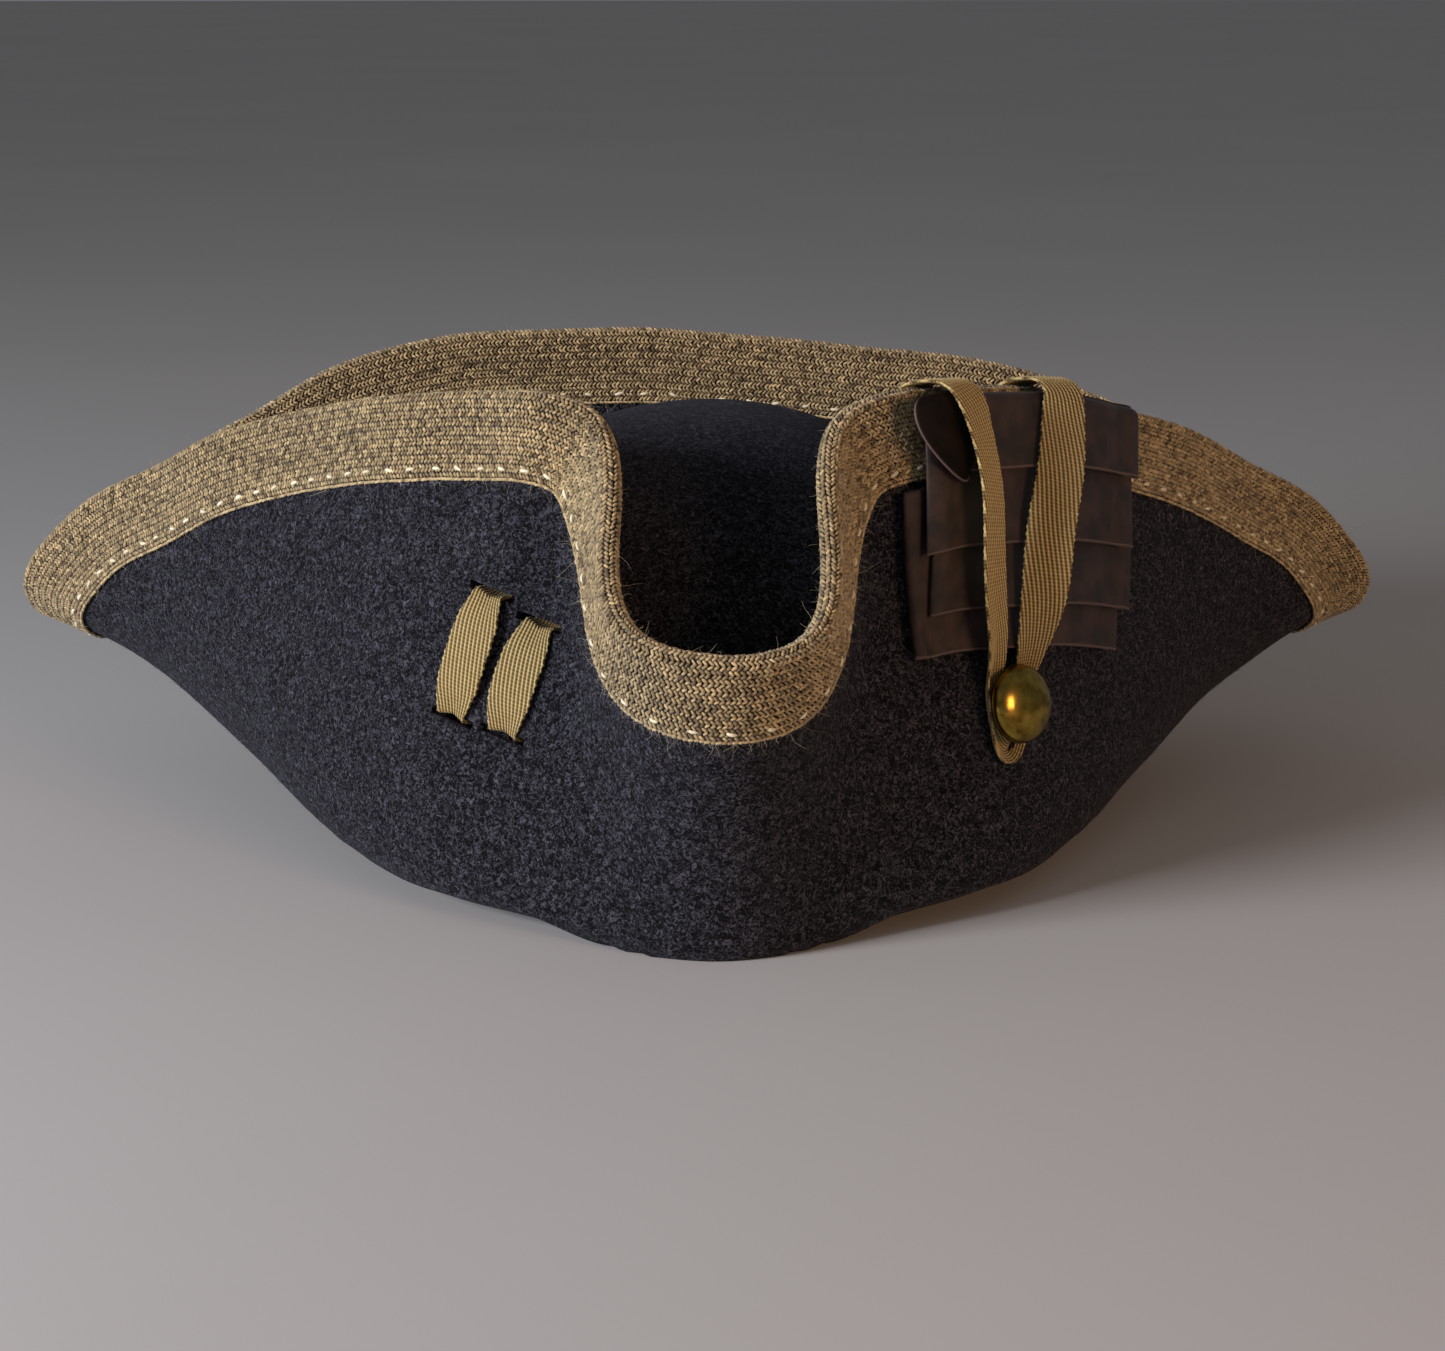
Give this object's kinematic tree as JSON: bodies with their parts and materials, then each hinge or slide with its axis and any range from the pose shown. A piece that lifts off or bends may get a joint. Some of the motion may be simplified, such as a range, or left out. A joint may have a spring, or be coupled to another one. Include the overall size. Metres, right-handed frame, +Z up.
{
  "type": "cocked hat",
  "caption": "Three cornered cocked felt hat with a U shaped dip in its front brim, plaited braid round the edge, ribbon cockade, and a tape looped round a domed button.",
  "frame": {"origin": "centre of the head opening at the headline, where the crown meets the brim and the wearer's head holds the hat", "axes": "+X towards the wearer's left, -Y towards the front point of the brim, +Z up through the crown"},
  "size_m": [0.4186, 0.2768, 0.1428],
  "materials": {
    "felt_wool": "short nap, matt",
    "braid_wool": "plaited wool, matt",
    "gold_tape": "ribbed twill, soft shine",
    "satin_ribbon": "satin",
    "linen_lining": "plain weave, matt",
    "sweatband_leather": "smooth, satin",
    "buckram": "stiffened, matt",
    "brass": "aged, satin",
    "dark_brass": "aged, matt",
    "waxed_thread": "waxed"
  },
  "bodies": {
    "hat": {"felt_body": "felt_wool", "edge_braid": "braid_wool", "lining_side": "linen_lining", "lining_tip": "linen_lining", "sweatband": "sweatband_leather", "cockade_fold_1": "satin_ribbon", "cockade_fold_2": "satin_ribbon", "cockade_fold_3": "satin_ribbon", "cockade_fold_4": "satin_ribbon", "cockade_backing": "buckram", "loop_tape": "gold_tape", "cocking_tape_left_front": "gold_tape", "cocking_tape_left_rear": "gold_tape", "cocking_tape_back_left": "gold_tape", "cocking_tape_back_right": "gold_tape"},
    "thread": {"button_thread": "waxed_thread"},
    "button": {"button_dome": "brass", "button_back": "dark_brass", "button_shank": "dark_brass"}
  },
  "joints": [
    {"name": "button_turn", "type": "hinge", "parent": "hat", "child": "thread", "pos_m": [0.0743, -0.0786, 0.04136], "axis": [0.6288, -0.7484, 0.211], "range_deg": [-45, 45]},
    {"name": "button_rock", "type": "hinge", "parent": "thread", "child": "button", "pos_m": [0.07776, -0.08272, 0.04252], "axis": [0.7744, 0.6271, -0.0836], "range_deg": [-4, 8]}
  ]
}
